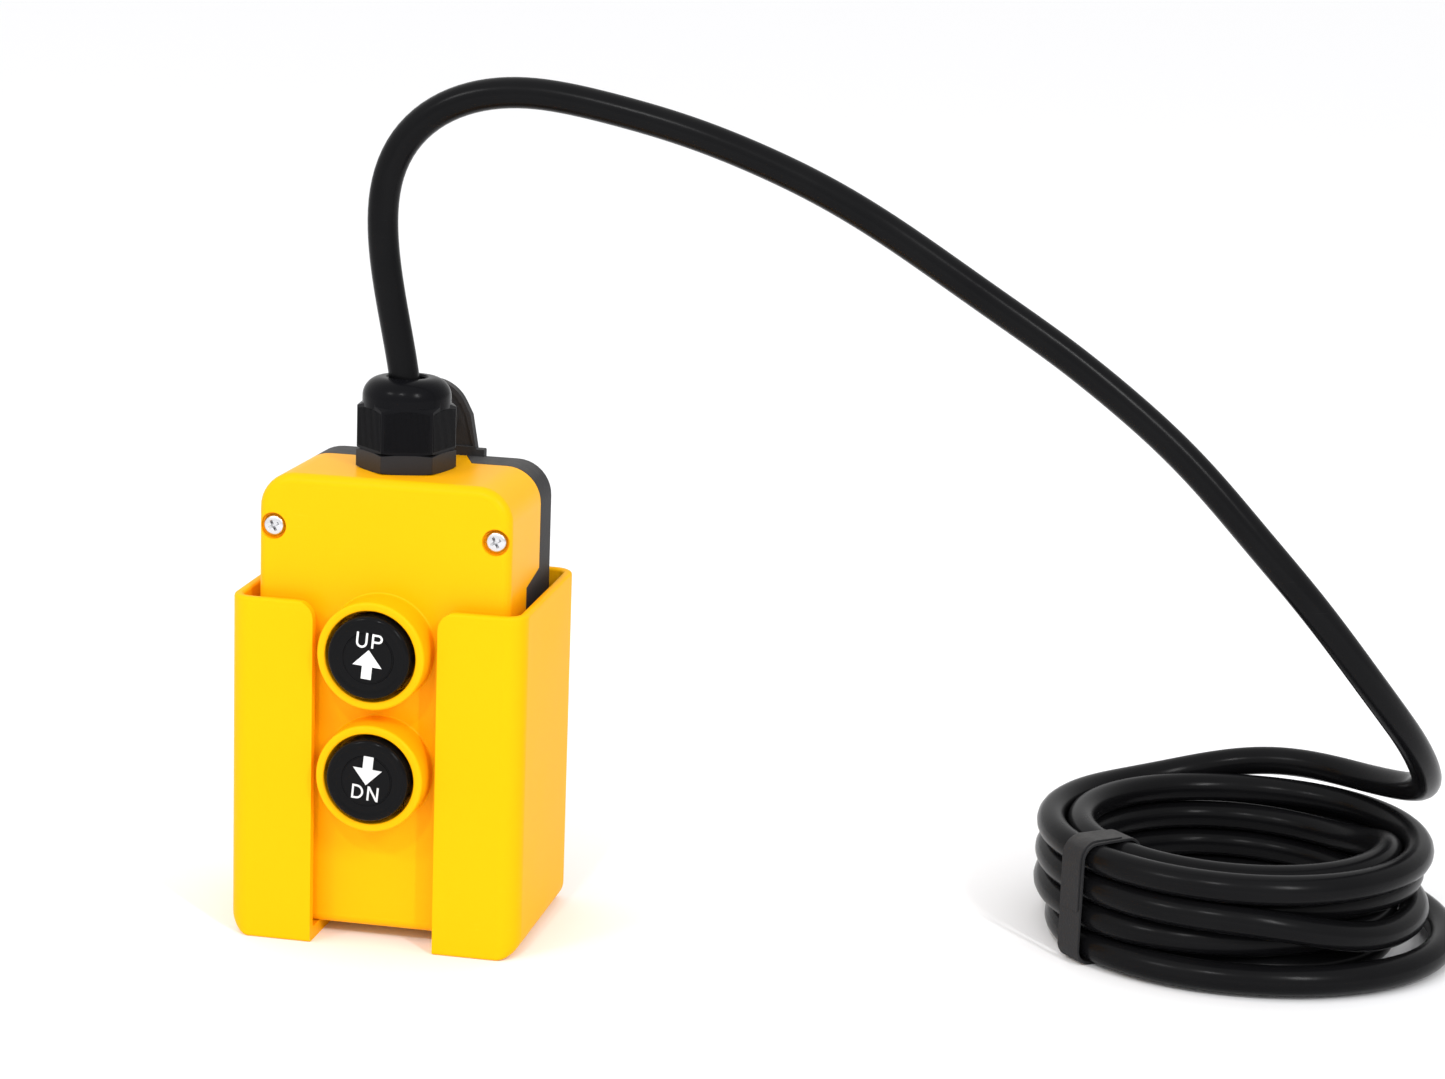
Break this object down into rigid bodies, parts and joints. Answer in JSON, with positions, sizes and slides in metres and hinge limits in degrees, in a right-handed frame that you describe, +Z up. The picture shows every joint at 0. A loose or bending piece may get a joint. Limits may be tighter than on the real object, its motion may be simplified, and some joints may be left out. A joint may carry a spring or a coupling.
{
  "type": "pendant control station",
  "caption": "Hand-held pendant station with two push buttons, a cable gland, a hanging eye and a coiled cord, standing in an open-fronted wall holster.",
  "frame": {"origin": "centre of the footprint of the holster and the buttons, on the surface that the holster stands on; the free cord does not count", "axes": "+Z up, the buttons face -Y, +X across the front to the right"},
  "size_m": [0.3397, 0.1813, 0.2392],
  "materials": {
    "holster_yellow": "moulded, fine satin",
    "housing_yellow": "moulded, satin",
    "cover_black": "moulded, matte",
    "gland_black": "moulded nylon",
    "cap_black": "polished moulding",
    "rubber_black": "moulded",
    "zinc_steel": "zinc plated",
    "brass": "turned or stamped",
    "block_ivory": "moulded",
    "plunger_white": "moulded",
    "carrier_grey": "moulded",
    "cord_jacket": "extruded, slightly glossy",
    "core_insulation": "extruded",
    "tie_black": "strap",
    "plug_black": "moulded",
    "seal_orange": "moulded"
  },
  "bodies": {
    "root": {"holster": "holster_yellow", "cord_coil": "cord_jacket", "coil_tie": "tie_black", "cord_end": "cord_jacket", "plug_boot": "rubber_black", "plug_housing": "plug_black", "plug_seal": "seal_orange", "plug_sockets": "brass"},
    "pendant": {"front_housing": "housing_yellow", "rear_cover": "cover_black", "cover_gasket": "rubber_black", "housing_screws": "zinc_steel", "threaded_inserts": "brass", "up_seal_ring": "rubber_black", "down_seal_ring": "rubber_black", "up_return_spring": "zinc_steel", "down_return_spring": "zinc_steel", "up_contact_block": "block_ivory", "down_contact_block": "block_ivory", "up_fixed_contacts": "brass", "down_fixed_contacts": "brass", "contact_carrier": "carrier_grey", "carrier_screws": "zinc_steel", "terminal_screws": "zinc_steel", "wire_lugs": "zinc_steel", "core_wires": "core_insulation", "gland_body": "gland_black", "gland_nut": "gland_black", "gland_seal": "rubber_black", "gland_washer": "rubber_black", "gland_locknut": "gland_black", "cord_through_gland": "cord_jacket", "cord_run": "cord_jacket"},
    "up_button": {"up_cap": "cap_black", "up_retaining_clip": "zinc_steel", "up_plunger": "plunger_white", "up_contact_bridge": "brass"},
    "down_button": {"down_cap": "cap_black", "down_retaining_clip": "zinc_steel", "down_plunger": "plunger_white", "down_contact_bridge": "brass"}
  },
  "joints": [
    {"name": "pendant_lift", "type": "slide", "parent": "root", "child": "pendant", "axis": [0, 0, 1], "range_m": [0, 0.1]},
    {"name": "up_press", "type": "slide", "parent": "pendant", "child": "up_button", "axis": [0, 1, 0], "range_m": [0, 0.0035], "stiffness_N_per_m": 900, "springref_m": -0.003, "deforming": ["up_return_spring"]},
    {"name": "down_press", "type": "slide", "parent": "pendant", "child": "down_button", "axis": [0, 1, 0], "range_m": [0, 0.0035], "stiffness_N_per_m": 900, "springref_m": -0.003, "deforming": ["down_return_spring"]}
  ]
}
